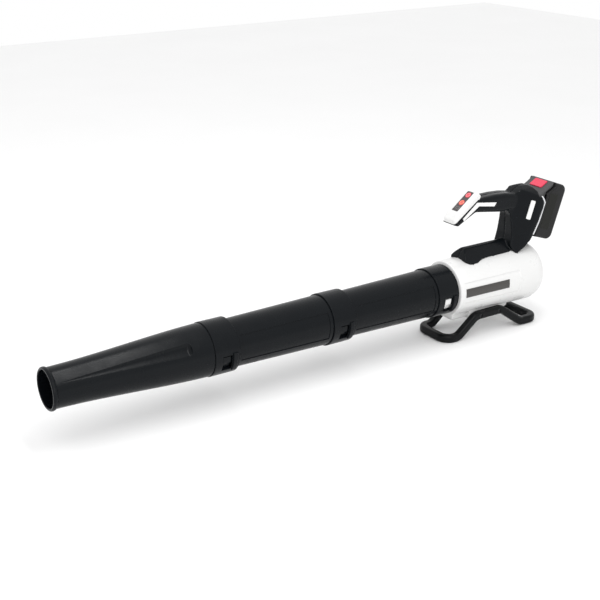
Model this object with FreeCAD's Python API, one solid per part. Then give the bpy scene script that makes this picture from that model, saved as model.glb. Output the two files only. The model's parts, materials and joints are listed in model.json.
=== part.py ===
"""Cordless leaf blower: nozzle, two extension tubes, motor housing, handle, slide-on battery and stand.

Millimetres. The air axis runs along Y: the nozzle's mouth is at -Y, the intake and the battery at +Y.
+Z is up and Z = 0 is the ground under the stand. The origin is the centre of the footprint on the ground.
"""
import FreeCAD, Part
import math
import os

# ---- driving dimensions ------------------------------------------------------------------------
LENGTH = 1098.0            # mouth of the nozzle to the rear of the battery
AXIS_Z = 98.0              # height of the air axis above the ground
MOUTH_Y = -LENGTH / 2
PITCH = 244.0              # each extension tube adds this much length
HOUSING_FRONT_Y = 271.0    # front face of the motor housing
HOUSING_REAR_Y = 507.0     # rearmost point of the intake dome
GAP = 0.3                  # clearance between parts that move on each other

# twist-lock sockets and spigots
SPIGOT_R = 43.0
SPIGOT_LENGTH = 42.0
SPIGOT_BORE_R = 40.6
SOCKET_R = SPIGOT_R + 0.4
COLLAR_R = 48.7
COLLAR_LENGTH = 48.0
LUG_R = 46.8
LUG_SPAN = (-17.0, -3.0)       # angles above the +X side, in degrees
WINDOW_SPAN = (-36.0, 0.0)
ENTRY_SPAN = (-35.0, -19.0)
BRIDGE_SPAN = (-38.0, 4.0)
BRIDGE_R = 51.6
WINDOW_BACK = 16.0             # window's rear edge, measured forward from the collar's end
WINDOW_LENGTH = 18.0
BRIDGE_BACK = 6.0
BRIDGE_LENGTH = 8.5

# nozzle
MOUTH_BORE_R = 32.0
MOUTH_LAND = 46.0
BEAD_R = 36.9
FLUTE_ANGLES = (33.0, 147.0, 270.0)
FLUTE_FRONT_Y = -537.0
FLUTE_REAR_Y = -304.0
FLUTE_R = 16.5
FLUTE_TIP_R = 1.0
FLUTE_DEPTH = 6.0
FLUTE_STEPS = 6
FLUTE_END_ROUND = 8.0
NOZZLE_WALL = 2.5

# extension tube
TUBE_FRONT_R = 43.15
TUBE_REAR_R = 46.4
PANEL_SPAN = (-28.0, 37.0)
PANEL_DEPTH = 1.1

# housing shells
SHELL_FRONT_R = 54.6
SHELL_REAR_R = 60.0
SHELL_CONE_Y = 455.0
SHELL_WALL = 3.0
DOME_START_Y = 468.0
GRILLE_R = 47.5
RECESS_SPAN = (-19.0, 25.0)
RECESS_Y = (283.0, 420.0)
BADGE_Y = (284.5, 393.0)
BADGE_HALF_HEIGHT = 8.5
BADGE_Z = AXIS_Z + 3.0
BOSS_HALF_WIDTH = 33.0
BOSS_BOTTOM_Z = 35.0
CHIN_HALF_WIDTH = 24.0
LEAD_Y = 404.0             # where the motor's leads leave the duct
LEAD_HOLE_R = 9.2

# screws across the shells, by y and z of their axes
SCREW_R = 1.9
SCREW_HEAD_R = 3.6
SHELL_SCREWS = ((290.0, 44.0), (352.0, 44.0), (404.0, 44.0))
HANDLE_SCREWS = (          # y, z and half the boss's length
    (326.0, 254.0, 16.5), (392.0, 247.0, 16.5), (424.0, 260.0, 16.5), (448.0, 196.0, 30.5),
    (336.0, 160.0, 13.5))

# fan and motor
DUCT_R = 46.0
DUCT_WALL = 2.4
DUCT_FRONT_Y = 310.4
DUCT_REAR_Y = 478.0
POD_R = 21.5
VANES = 7
BLADES = 11
SHAFT_R = 2.5
IMPELLER_Y = (427.0, 452.0)

# stand, a bar bent into one closed loop
BAR = 16.0
BAR_CORNER = 5.0
STAND_POINTS = (
    (0.0, 250.0, BAR / 2), (40.0, 250.0, BAR / 2), (40.0, 279.0, BAR / 2), (41.6, 322.0, 43.4),
    (41.6, 388.0, 43.4), (46.0, 438.0, BAR / 2), (47.0, 479.0, BAR / 2), (0.0, 479.0, BAR / 2))
STAND_BENDS = (19.0, 22.0, 26.0, 26.0, 26.0, 19.0)
STAND_SCREWS_Y = (330.0, 378.0)
STAND_SCREW_Z = 44.0

# handle
GRIP_HALF_WIDTH = 18.0
GRIP_ROUND = 7.5
NOSE_ROUND = 6.0
COVER_ROUND = 5.5
SKIN = 3.0
NOSE_START = (277.0, 230.5)        # y, z of the nose's front end, where its cover begins
NOSE_TOP = (333.0, 270.9)
NOSE_SLOPE = math.radians(38.0)
PANEL_CENTRE = (310.5, 268.0)      # Y, Z of the control panel's middle, on the nose's sloping face
PANEL_SIZE = (17.0, 51.0)
BUTTON_R = 6.2
POWER_OFFSET = 16.5                # along the slope from the panel's middle
SPEED_OFFSET = -3.5
BUTTON_TRAVEL = 1.2
TRIM_WIDTH = 2.4
NOSE_OUTLINE = (                   # y, z of the side view, as are the next four outlines
    (277.0, 229.2), (289.5, 224.8), (306.0, 233.4), (331.0, 245.6), (335.0, 245.0), (335.0, 270.9),
    NOSE_TOP, NOSE_START)
GRIP_OUTLINE = (
    (334.0, 245.1), (397.0, 235.6), (440.0, 236.0), (446.0, 262.0), (430.0, 268.8), (411.0, 271.8),
    (385.0, 273.2), (360.0, 272.8), (334.0, 271.6))
COVER_OUTLINE = (
    (277.0, 231.2), (333.0, 271.6), (336.0, 271.8), (341.0, 279.5), (333.0, 286.2), (286.0, 250.2),
    (277.5, 238.5))
COLUMN_OUTLINE = (
    (420.0, 165.0), (422.5, 176.0), (424.5, 186.0), (424.5, 198.0), (423.5, 225.0), (417.0, 235.0),
    (409.0, 242.0), (412.0, 261.0), (433.0, 267.0), (444.0, 273.5), (454.0, 278.5), (463.0, 280.0),
    (472.0, 278.0), (478.0, 274.0), (484.6, 263.5), (494.0, 245.5), (491.0, 233.0), (480.0, 206.0),
    (470.0, 187.0), (461.0, 173.0), (449.0, 161.0), (435.0, 150.0), (431.0, 145.0))
SADDLE_OUTLINE = (
    (303.5, 145.0), (303.5, 151.0), (309.0, 163.0), (316.5, 173.0), (323.0, 174.6), (392.0, 174.6),
    (404.0, 175.5), (456.0, 178.0), (460.0, 165.0), (462.0, 140.0))
SADDLE_PLAN = (                    # x, y of half of the plan view
    (0.0, 303.0), (12.0, 303.5), (21.0, 305.5), (27.5, 311.0), (30.0, 320.0), (29.0, 333.0),
    (24.5, 346.0), (23.0, 358.0), (24.0, 400.0), (25.5, 430.0), (30.0, 464.0))
SADDLE_SECTION = (                 # x, z of half of the cross-section
    (34.0, 130.0), (31.0, 146.0), (25.0, 151.0), (17.0, 161.5), (12.0, 167.0), (6.0, 172.6), (0.0, 174.2))
COLUMN_PLAN = (                    # x, d of half of the section across the battery's rails
    (38.6, 40.0), (38.6, 52.0), (37.0, 62.0), (32.5, 74.0), (22.5, 93.0), (17.0, 104.0), (13.0, 128.0))
COLUMN_SECTION = (                 # x, z of half of the column's section across the air axis
    (45.0, 100.0), (45.0, 243.0), (40.0, 254.0), (33.0, 262.5), (25.5, 269.0), (17.0, 274.5), (8.0, 278.5),
    (0.0, 280.0))
STRIPE_OUTLINE = (
    (299.5, 234.6), (297.2, 239.6), (331.5, 266.2), (381.5, 258.9), (376.0, 251.8), (336.5, 258.4))

# battery, in its own tilted frame: d is forward from its rear face, w is up along its rails
PACK_TILT = math.radians(18.4)
PACK_HALF_WIDTH = 37.5
PACK_DEPTH = 46.0
PACK_NECK_D = 62.0
PACK_BOTTOM_W = -4.0
PACK_TOP_W = 109.0
PACK_REAR_D = -1.4
PACK_ROUND = 13.0                  # rear corners in the side view
PACK_RIM_ROUND = 4.0               # edge all round each side face
PACK_WALL = 3.0
PACK_Z = 167.0
PACK_Y = (LENGTH / 2 - (PACK_TOP_W - PACK_ROUND) * math.sin(PACK_TILT)
          - PACK_ROUND * (1 - math.cos(PACK_TILT)) + PACK_REAR_D * math.cos(PACK_TILT))
BAY_D = 64.6
BAY_HALF_WIDTH = 35.6
NECK_HALF_WIDTH = 31.0
CAP_OUTLINE = (                    # d, w of the latch cap's side view
    (31.0, 109.6), (61.5, 76.5), (61.5, 66.0), (46.2, 66.0), (46.2, 84.0), (30.2, 100.0))
BUTTON_ON_CAP = (41.1, 99.6)       # d, w of the release button's middle, on the cap's sloping face
RELEASE_SIZE = (33.0, 21.0)
CELL_R = 9.2
CELL_LENGTH = 64.0
CELL_PITCH = 19.0

V = FreeCAD.Vector
X_AXIS = V(1, 0, 0)
Y_AXIS = V(0, 1, 0)
Z_AXIS = V(0, 0, 1)
AXIS = V(0, 0, AXIS_Z)
parts = {}


# ---- helpers -----------------------------------------------------------------------------------
def fuse(shapes):
    """One clean solid from overlapping shapes."""
    whole = shapes[0]
    if len(shapes) > 1:
        whole = shapes[0].multiFuse(list(shapes[1:]))
    return whole.removeSplitter()


def box(x, y, z):
    """A box from (low, high) pairs."""
    return Part.makeBox(x[1] - x[0], y[1] - y[0], z[1] - z[0], V(x[0], y[0], z[0]))


def rod(start, direction, radius, length):
    return Part.makeCylinder(radius, length, start, direction)


def polygon_face(points):
    return Part.Face(Part.makePolygon(list(points) + [points[0]]))


def turned(points):
    """Solid of revolution about the air axis from a closed outline of (radius, y) points."""
    face = polygon_face([V(r, y, 0) for r, y in points])
    solid = face.revolve(V(0, 0, 0), Y_AXIS, 360)
    solid.translate(AXIS)
    return solid


def smooth_turned(curve, points):
    """Solid of revolution whose outline is a smooth curve closed by straight runs."""
    ends = [curve[-1]] + list(points) + [curve[0]]
    spline = Part.BSplineCurve()
    spline.interpolate([V(r, y, 0) for r, y in curve])
    wire = Part.Wire([spline.toShape(), Part.makePolygon([V(r, y, 0) for r, y in ends])])
    solid = Part.Face(wire).revolve(V(0, 0, 0), Y_AXIS, 360)
    solid.translate(AXIS)
    return solid


def sector(points, span):
    """Part of a turned solid, between two angles above the +X side."""
    face = polygon_face([V(r, y, 0) for r, y in points])
    face.rotate(V(0, 0, 0), Y_AXIS, -span[0])
    solid = face.revolve(V(0, 0, 0), Y_AXIS, span[0] - span[1])
    solid.translate(AXIS)
    return solid


def ring_sector(radii, y, span):
    return sector([(radii[0], y[0]), (radii[1], y[0]), (radii[1], y[1]), (radii[0], y[1])], span)


def around(shape, angle):
    """The shape turned about the air axis by an angle that lifts the +X side."""
    copy = shape.copy()
    copy.rotate(AXIS, Y_AXIS, -angle)
    return copy


def mirrored(shape):
    return shape.mirror(V(0, 0, 0), X_AXIS)


def side_prism(points, x):
    """A prism across X from a closed outline of (y, z) points."""
    face = polygon_face([V(x[0], y, z) for y, z in points])
    return face.extrude(V(x[1] - x[0], 0, 0))


def inset_prism(points, inset, half_width):
    """A side prism whose outline is drawn in by inset."""
    wire = Part.makePolygon([V(-half_width, y, z) for y, z in points] + [V(-half_width, *points[0])])
    return Part.Face(wire.makeOffset2D(-inset)).extrude(V(2 * half_width, 0, 0))


def pack_point(x, d, w):
    """A point of the battery's tilted frame."""
    return V(x, PACK_Y + w * math.sin(PACK_TILT) - d * math.cos(PACK_TILT),
             PACK_Z + w * math.cos(PACK_TILT) + d * math.sin(PACK_TILT))


PACK_UP = V(0, math.sin(PACK_TILT), math.cos(PACK_TILT))
PACK_FORWARD = V(0, -math.cos(PACK_TILT), math.sin(PACK_TILT))


def pack_prism(points, x):
    """A prism across X from a closed outline of (d, w) points."""
    face = polygon_face([pack_point(x[0], d, w) for d, w in points])
    return face.extrude(V(x[1] - x[0], 0, 0))


def pack_box(x, d, w):
    return pack_prism([(d[0], w[0]), (d[1], w[0]), (d[1], w[1]), (d[0], w[1])], x)


def plan_prism(points, w):
    """A prism along the battery's rails from a closed outline of (x, d) points."""
    face = polygon_face([pack_point(x, d, w[0]) for x, d in points])
    return face.extrude(PACK_UP * (w[1] - w[0]))


def halves(shape):
    """The left (-X) and right (+X) halves of a shape."""
    reach = 2000
    left = box((-reach, 0), (-reach, reach), (-reach, reach))
    right = box((0, reach), (-reach, reach), (-reach, reach))
    return shape.common(left), shape.common(right)


def straight_edges(shape, direction):
    """Edges parallel to a direction."""
    found = []
    for edge in shape.Edges:
        if len(edge.Vertexes) == 2 and edge.Curve.TypeId == "Part::GeomLine":
            run = edge.Vertexes[1].Point - edge.Vertexes[0].Point
            if run.cross(direction).Length < 1e-4 * run.Length:
                found.append(edge)
    return found


def bent_path(points, radii):
    """A wire of straight runs joined by tangent arcs."""
    corners = [V(*p) for p in points]
    edges = []
    last = corners[0]
    for i, radius in enumerate(radii, 1):
        before = (corners[i - 1] - corners[i]).normalize()
        after = (corners[i + 1] - corners[i]).normalize()
        half_turn = (math.pi - before.getAngle(after)) / 2
        reach = radius * math.tan(half_turn)
        start = corners[i] + before * reach
        end = corners[i] + after * reach
        bisector = (before + after).normalize()
        middle = corners[i] + bisector * (radius / math.cos(half_turn) - radius)
        edges.append(Part.LineSegment(last, start).toShape())
        edges.append(Part.Arc(start, middle, end).toShape())
        last = end
    edges.append(Part.LineSegment(last, corners[-1]).toShape())
    return Part.Wire(edges)


def keep(name, shape):
    """Stores a node, one solid or a group of separate solids."""
    solids = shape.Solids
    parts[name] = solids[0] if len(solids) == 1 else Part.makeCompound(solids)


# ---- nozzle and extension tubes ----------------------------------------------------------------
def add_lugs(shape, collar_end):
    """Two lugs on a spigot, where they stand in the windows of the collar that covers it."""
    y = (collar_end - WINDOW_BACK - WINDOW_LENGTH + 1.5, collar_end - WINDOW_BACK - 2.5)
    lug = ring_sector((SPIGOT_R - 1.0, LUG_R), y, LUG_SPAN)
    return fuse([shape, lug, around(lug, 180)])


def cut_twist_lock(shape, collar_end):
    """Windows, lug entries and raised bridges in a collar."""
    rear = collar_end - WINDOW_BACK
    window = ring_sector((SOCKET_R - 2, COLLAR_R + 5), (rear - WINDOW_LENGTH, rear), WINDOW_SPAN)
    entry = ring_sector((SOCKET_R - 2, LUG_R + GAP), (rear - 1, collar_end + 1), ENTRY_SPAN)
    bridge_y = (collar_end - BRIDGE_BACK - BRIDGE_LENGTH, collar_end - BRIDGE_BACK)
    bridge = ring_sector((COLLAR_R - 1.5, BRIDGE_R), bridge_y, BRIDGE_SPAN)
    bridge = bridge.makeFillet(1.4, [e for e in bridge.Edges if is_outer(e)])
    shape = fuse([shape, bridge, around(bridge, 180)])
    return shape.cut(Part.makeCompound([window, around(window, 180), entry, around(entry, 180)]))


def is_outer(edge):
    """True if all of an edge lies on the bridge's outer radius."""
    return all(abs(math.hypot(v.Point.x, v.Point.z - AXIS_Z) - BRIDGE_R) < 0.01 for v in edge.Vertexes)


def collar_outline(front_r, collar_end):
    """Outer outline of a socket collar, with the narrow groove in front of it."""
    front = collar_end - COLLAR_LENGTH
    return [(front_r, front - 1.6), (front_r - 1.0, front - 1.4), (front_r - 1.0, front - 0.2),
            (COLLAR_R - 0.8, front), (COLLAR_R, front + 0.8),
            (COLLAR_R, collar_end - 1.0), (COLLAR_R - 1.0, collar_end)]


def nozzle_radius(y):
    """Outer radius of the nozzle: almost straight behind the mouth, then a gentle flare."""
    s = (y - MOUTH_Y) / 284.0
    return 34.6 + 13.0 * (3 * s ** 2 - 2 * s ** 3) * 0.82 + 2.3 * s ** 2


def nozzle():
    collar_end = MOUTH_Y + 332.0
    front = collar_end - COLLAR_LENGTH
    steps = [MOUTH_Y + 8.2 + (front - 1.6 - MOUTH_Y - 8.2) * i / 8 for i in range(9)]
    outer = [(nozzle_radius(y), y) for y in steps]
    bead = [(MOUTH_BORE_R, MOUTH_Y + 1.0), (MOUTH_BORE_R + 1.0, MOUTH_Y), (BEAD_R - 2.0, MOUTH_Y),
            (BEAD_R - 0.5, MOUTH_Y + 1.4), (BEAD_R, MOUTH_Y + 4.0), (BEAD_R - 0.6, MOUTH_Y + 6.6),
            (BEAD_R - 1.7, MOUTH_Y + 7.6), (outer[0][0] - 0.6, MOUTH_Y + 7.8)]
    land_y = MOUTH_Y + MOUTH_LAND
    widening = [(nozzle_radius(y) - NOZZLE_WALL, y) for y in (-300.0, -336.0, -380.0, -440.0)]
    inner = [(SOCKET_R, collar_end), (SOCKET_R, front - 8)] + widening + [(MOUTH_BORE_R, land_y)]
    body = smooth_turned(outer, collar_outline(outer[-1][0], collar_end)[1:] + inner + bead)
    cavity = turned([(0, land_y), (MOUTH_BORE_R + 0.3, land_y)]
                    + [(r + 0.3, y) for r, y in reversed(widening)]
                    + [(SOCKET_R + 0.2, front - 10), (0, front - 10)])
    cutters = []
    backings = []
    for angle in FLUTE_ANGLES:
        cutters.append(around(flute(0.0), angle))
        backings.append(around(flute(NOZZLE_WALL), angle).common(cavity))
    body = fuse([body] + backings).cut(Part.makeCompound(cutters))
    keep("nozzle", cut_twist_lock(body, collar_end))
    return collar_end


def flute(extra):
    """Scoop that widens along the nozzle's surface from a point to a round end."""
    rings = []
    for i in range(FLUTE_STEPS + 1):
        share = i / FLUTE_STEPS
        y = FLUTE_FRONT_Y + (FLUTE_REAR_Y - FLUTE_FRONT_Y) * share
        radius = FLUTE_TIP_R + (FLUTE_R - FLUTE_TIP_R) * share
        centre = V(nozzle_radius(y) + radius - FLUTE_DEPTH * share, y, AXIS_Z)
        rings.append(Part.Wire(Part.makeCircle(radius + extra, centre, Y_AXIS)))
    trough = Part.makeLoft(rings, True, False)
    rear = [e for e in trough.Edges if e.BoundBox.YMin > FLUTE_REAR_Y - 0.1]
    return trough.makeFillet(FLUTE_END_ROUND, rear)


def extension_tube(name, collar_end):
    """Spigot, slightly flared body with a sunk panel each side, and a socket collar."""
    body_front = collar_end - PITCH
    collar_front = collar_end - COLLAR_LENGTH
    spigot_front = body_front - SPIGOT_LENGTH
    outline = [(SPIGOT_BORE_R, spigot_front), (SPIGOT_R - 0.8, spigot_front),
               (SPIGOT_R, spigot_front + 0.8), (SPIGOT_R, body_front),
               (TUBE_FRONT_R, body_front + 1)]
    outline += collar_outline(TUBE_REAR_R, collar_end)
    outline += [(SOCKET_R, collar_end), (SOCKET_R, collar_front - 10), (SPIGOT_BORE_R, body_front)]
    body = add_lugs(turned(outline), body_front)
    front = body_front + 7
    rear = collar_front - 8
    flare = (TUBE_REAR_R - TUBE_FRONT_R) / (collar_front - body_front)
    front_r = TUBE_FRONT_R + flare * 7 - PANEL_DEPTH
    rear_r = TUBE_REAR_R - flare * 8 - PANEL_DEPTH
    panel = sector([(front_r, front), (front_r + 5, front - 1.5), (rear_r + 5, rear + 1.5),
                    (rear_r, rear)], PANEL_SPAN)
    body = body.cut(Part.makeCompound([panel, mirrored(panel)]))
    keep(name, cut_twist_lock(body, collar_end))


# ---- motor housing -----------------------------------------------------------------------------
def outlet_spigot():
    """White outlet: the spigot for the rear tube, and a flange that the shells grip."""
    front = HOUSING_FRONT_Y - SPIGOT_LENGTH
    rear = DUCT_FRONT_Y - GAP
    ring = turned([(SPIGOT_BORE_R, front), (SPIGOT_R - 0.8, front), (SPIGOT_R, front + 0.8),
                   (SPIGOT_R, 275.2), (50.6, 275.2), (50.6, 278.2), (44.4, 278.2),
                   (DUCT_R + 2.2, rear), (DUCT_R, rear), (SPIGOT_BORE_R, HOUSING_FRONT_Y)])
    keep("outlet_spigot", add_lugs(ring, HOUSING_FRONT_Y))


def dome_y(radius, outer_r, depth):
    return DOME_START_Y + depth * math.sqrt(max(0.0, 1 - (radius / outer_r) ** 2.4))


def dome_angles(outer_r, depth, to_r, count):
    """Dome points spaced evenly along its curve."""
    last = math.acos(min(1.0, (to_r / outer_r) ** 1.2))
    points = []
    for i in range(1, count + 1):
        turn = last * i / count
        points.append((outer_r * math.cos(turn) ** (1 / 1.2), DOME_START_Y + depth * math.sin(turn)))
    return points


def shell_outer():
    """Solid envelope of the housing without its underside boss."""
    depth = HOUSING_REAR_Y - DOME_START_Y
    outline = [(0, HOUSING_FRONT_Y + GAP), (SHELL_FRONT_R - 2, HOUSING_FRONT_Y + GAP),
               (SHELL_FRONT_R - 0.6, HOUSING_FRONT_Y + 0.9), (SHELL_FRONT_R, HOUSING_FRONT_Y + 2.3),
               (SHELL_REAR_R, SHELL_CONE_Y), (SHELL_REAR_R, DOME_START_Y)]
    outline += dome_angles(SHELL_REAR_R, depth, 0.0, 14)
    return turned(outline)


def shell_cavity():
    inner_r = SHELL_REAR_R - SHELL_WALL
    depth = HOUSING_REAR_Y - DOME_START_Y - SHELL_WALL
    outline = [(0, 274.9), (50.9, 274.9), (50.9, 280.0), (SHELL_FRONT_R - SHELL_WALL + 0.2, 280.0),
               (inner_r, SHELL_CONE_Y), (inner_r, DOME_START_Y)]
    outline += dome_angles(inner_r, depth, 0.0, 10)
    return turned(outline)


def underside_boss():
    """Pad under the housing that the stand's bars clamp on, with a narrower chin in front."""
    boss = box((-BOSS_HALF_WIDTH, BOSS_HALF_WIDTH), (314.0, 394.0), (BOSS_BOTTOM_Z, AXIS_Z - 30))
    boss = boss.makeFillet(7.0, straight_edges(boss, Y_AXIS)[:2])
    chin = box((-CHIN_HALF_WIDTH, CHIN_HALF_WIDTH), (276.0, 420.0), (BOSS_BOTTOM_Z - 1, AXIS_Z - 30))
    lower = [e for e in chin.Edges if e.BoundBox.ZMax < BOSS_BOTTOM_Z]
    return boss, chin.makeFillet(9.0, lower)


def conical_recess(span, y, depth):
    """Shallow sunk field on the shells' side."""
    slope = (SHELL_REAR_R - SHELL_FRONT_R) / (SHELL_CONE_Y - HOUSING_FRONT_Y - 2.3)
    radii = [SHELL_FRONT_R + slope * (v - HOUSING_FRONT_Y - 2.3) - depth for v in y]
    return sector([(radii[0], y[0]), (radii[0] + 6, y[0] - 3), (radii[1] + 6, y[1] + 8),
                   (radii[1], y[1])], span)


def shell_screw_bosses():
    return [rod(V(-26, y, z), X_AXIS, 4.6, 52) for y, z in SHELL_SCREWS]


def cross_screw(y, z, half_length, head_x):
    """Screw across X from the left side, its head at head_x."""
    shank = rod(V(head_x, y, z), X_AXIS, SCREW_R, half_length)
    head = rod(V(head_x - 2.6, y, z), X_AXIS, SCREW_HEAD_R, 2.6)
    socket = rod(V(head_x - 2.7, y, z), X_AXIS, 1.5, 1.4)
    return fuse([shank, head]).cut(socket)


def housing():
    outer = shell_outer()
    boss, chin = underside_boss()
    envelope = fuse([outer, boss, chin])
    cavity = shell_cavity()
    boss_cavity = box((-CHIN_HALF_WIDTH + 3, CHIN_HALF_WIDTH - 3), (281.0, 416.0),
                      (BOSS_BOTTOM_Z + 3, AXIS_Z - 45))
    bosses = [b.common(envelope) for b in shell_screw_bosses()]
    body = envelope.cut(fuse([cavity, boss_cavity]))
    duct_room = rod(V(0, HOUSING_FRONT_Y, AXIS_Z), Y_AXIS, DUCT_R + DUCT_WALL + 0.4, 240)
    body = fuse([body] + bosses).cut(duct_room.common(cavity))
    front_hole = rod(V(0, HOUSING_FRONT_Y - 5, AXIS_Z), Y_AXIS, SPIGOT_R + 0.15, 12)
    rear_hole = rod(V(0, DOME_START_Y, AXIS_Z), Y_AXIS, GRILLE_R + 0.2, 60)
    recess = conical_recess(RECESS_SPAN, RECESS_Y, 1.2)
    lead_hole = rod(V(0, LEAD_Y, AXIS_Z + 30), Z_AXIS, LEAD_HOLE_R, 60)
    cuts = [front_hole, rear_hole, recess, mirrored(recess), lead_hole]
    screws = []
    for y, z in SHELL_SCREWS:
        head_x = -20.0
        cuts.append(rod(V(-80, y, z), X_AXIS, SCREW_HEAD_R + 0.3, 80 + head_x))
        cuts.append(rod(V(head_x - 1, y, z), X_AXIS, SCREW_R, 37))
        screws.append(cross_screw(y, z, 34, head_x))
    for y in STAND_SCREWS_Y:
        for side in (-1, 1):
            start = V(side * 60, y, STAND_SCREW_Z)
            cuts.append(rod(start, V(-side, 0, 0), SCREW_R, 43))
    left, right = halves(body.cut(Part.makeCompound(cuts)))
    keep("housing_left", left)
    keep("housing_right", right)
    keep("housing_screws", Part.makeCompound(screws))
    return envelope


def badges():
    """Dark plates in the sunk fields."""
    slope = (SHELL_REAR_R - SHELL_FRONT_R) / (SHELL_CONE_Y - HOUSING_FRONT_Y - 2.3)
    radii = [SHELL_FRONT_R + slope * (y - HOUSING_FRONT_Y - 2.3) - 1.2 for y in BADGE_Y]
    plate = sector([(radii[0], BADGE_Y[0]), (radii[0] + 0.9, BADGE_Y[0]),
                    (radii[1] + 0.9, BADGE_Y[1]), (radii[1], BADGE_Y[1])], (-30, 30))
    window = box((0, 100), (0, 600), (BADGE_Z - BADGE_HALF_HEIGHT, BADGE_Z + BADGE_HALF_HEIGHT))
    plate = plate.common(window)
    keep("badge_right", plate)
    keep("badge_left", mirrored(plate))


def intake_grille():
    """Domed cap with radial slots, and a skirt that snaps inside the shells."""
    depth = HOUSING_REAR_Y - DOME_START_Y
    outer = [p for p in dome_angles(SHELL_REAR_R, depth, 0.0, 20) if p[0] < GRILLE_R - 0.5]
    rim_y = dome_y(GRILLE_R, SHELL_REAR_R, depth)
    inner = [(r * 0.97, y - 3.0) for r, y in reversed(outer)]
    skirt = [(44.4, rim_y - 3.2), (44.4, rim_y - 12.0), (GRILLE_R, rim_y - 12.0), (GRILLE_R, rim_y)]
    cap = turned(skirt + outer + inner)
    slot = box((19.0, 44.0), (DOME_START_Y + 14, HOUSING_REAR_Y + 5), (AXIS_Z - 2.0, AXIS_Z + 2.0))
    slot = slot.makeFillet(1.9, straight_edges(slot, Y_AXIS))
    slots = [around(slot, 360.0 / 16 * i + 11.25) for i in range(16)]
    keep("intake_grille", cap.cut(Part.makeCompound(slots)))


def dust_screen():
    """Perforated disc behind the grille."""
    disc = rod(V(0, 481.5, AXIS_Z), Y_AXIS, 44.1, 0.9)
    holes = []
    for ring, count in ((8.5, 6), (17.0, 12), (25.5, 18), (34.0, 24), (40.6, 30)):
        for i in range(count):
            hole = rod(V(ring, 480, AXIS_Z), Y_AXIS, 3.1, 4)
            holes.append(around(hole, 360.0 / count * i))
    keep("dust_screen", disc.cut(Part.makeCompound(holes)))


# ---- fan and motor -----------------------------------------------------------------------------
def fan_duct():
    """Air duct with a motor pod held by stator vanes."""
    out = DUCT_R + DUCT_WALL
    tube = turned([(DUCT_R, DUCT_FRONT_Y), (out, DUCT_FRONT_Y), (out, DUCT_REAR_Y),
                   (DUCT_R + 1.4, DUCT_REAR_Y), (DUCT_R, DUCT_REAR_Y - 8)])
    pod = turned([(POD_R, 336), (POD_R + 2.2, 336), (POD_R + 2.2, 422), (POD_R, 422)])
    vanes = []
    for i in range(VANES):
        vane = box((POD_R + 1.2, DUCT_R + 1), (352.0, 396.0), (AXIS_Z - 1.1, AXIS_Z + 1.1))
        vane.rotate(V(0, 374, AXIS_Z), X_AXIS, 9)
        vanes.append(around(vane, 360.0 / VANES * i))
    hole = rod(V(0, LEAD_Y, AXIS_Z + 15), Z_AXIS, 7.6, 40)
    keep("fan_duct", fuse([tube, pod] + vanes).cut(hole))


def duct_mounts():
    """Soft rings that hold the duct in the shells."""
    out = DUCT_R + DUCT_WALL
    front = turned([(out + 0.1, 322), (52.9, 322), (52.9, 330), (out + 0.1, 330)])
    rear = turned([(out + 0.1, 456), (56.8, 456), (56.8, 464), (out + 0.1, 464)])
    screws = [rod(V(-30, y, z), X_AXIS, 5.0, 60) for y, z in SHELL_SCREWS]
    keep("duct_mounts", Part.makeCompound([front, rear]).cut(Part.makeCompound(screws)))


def motor():
    """Brushless motor in the pod: can, wound stator, shaft with magnet rotor, two bearings."""
    can = turned([(7.1, 340), (21.3, 340), (21.3, 420), (19.6, 420), (19.6, 342.5), (10, 342.5),
                  (10, 349), (7.1, 349)])
    lead_slot = rod(V(0, LEAD_Y, AXIS_Z + 12), Z_AXIS, 7.0, 20)
    keep("motor_can", can.cut(lead_slot))
    cap = turned([(7.1, 410), (19.5, 410), (19.5, 414), (7.1, 414)])
    vents = [around(rod(V(14, 405, AXIS_Z), Y_AXIS, 3.2, 14), 60 * i) for i in range(6)]
    keep("motor_end_cap", cap.cut(Part.makeCompound(vents)))
    yoke = turned([(17.0, 356), (19.5, 356), (19.5, 390), (17.0, 390)])
    teeth = [around(box((12.6, 17.5), (356.0, 390.0), (AXIS_Z - 2.2, AXIS_Z + 2.2)), 60 * i)
             for i in range(6)]
    keep("motor_stator", fuse([yoke] + teeth))
    coils = []
    for i in range(6):
        winding = box((13.4, 16.2), (352.5, 393.5), (AXIS_Z - 4.4, AXIS_Z + 4.4))
        winding = winding.cut(box((13, 17), (355.9, 390.1), (AXIS_Z - 2.3, AXIS_Z + 2.3)))
        coils.append(around(winding, 60 * i))
    keep("motor_coils", Part.makeCompound(coils))
    keep("motor_shaft", rod(V(0, 338, AXIS_Z), Y_AXIS, SHAFT_R, 128))
    keep("motor_rotor", turned([(SHAFT_R, 356), (11.8, 356), (11.8, 390), (SHAFT_R, 390)]))
    bearings = [turned([(SHAFT_R + 0.03, y), (7.08, y), (7.08, y + 5), (SHAFT_R + 0.03, y + 5)])
                for y in (343.5, 409.5)]
    keep("motor_bearings", Part.makeCompound(bearings))
    keep("tail_cone", turned([(0, 290), (7, 296), (14, 308), (20, 323), (23.7, 335.7),
                              (21.3, 335.7), (21.3, 339.7), (0, 339.7)]).cut(
        rod(V(0, 334, AXIS_Z), Y_AXIS, 4, 10)))


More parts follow.
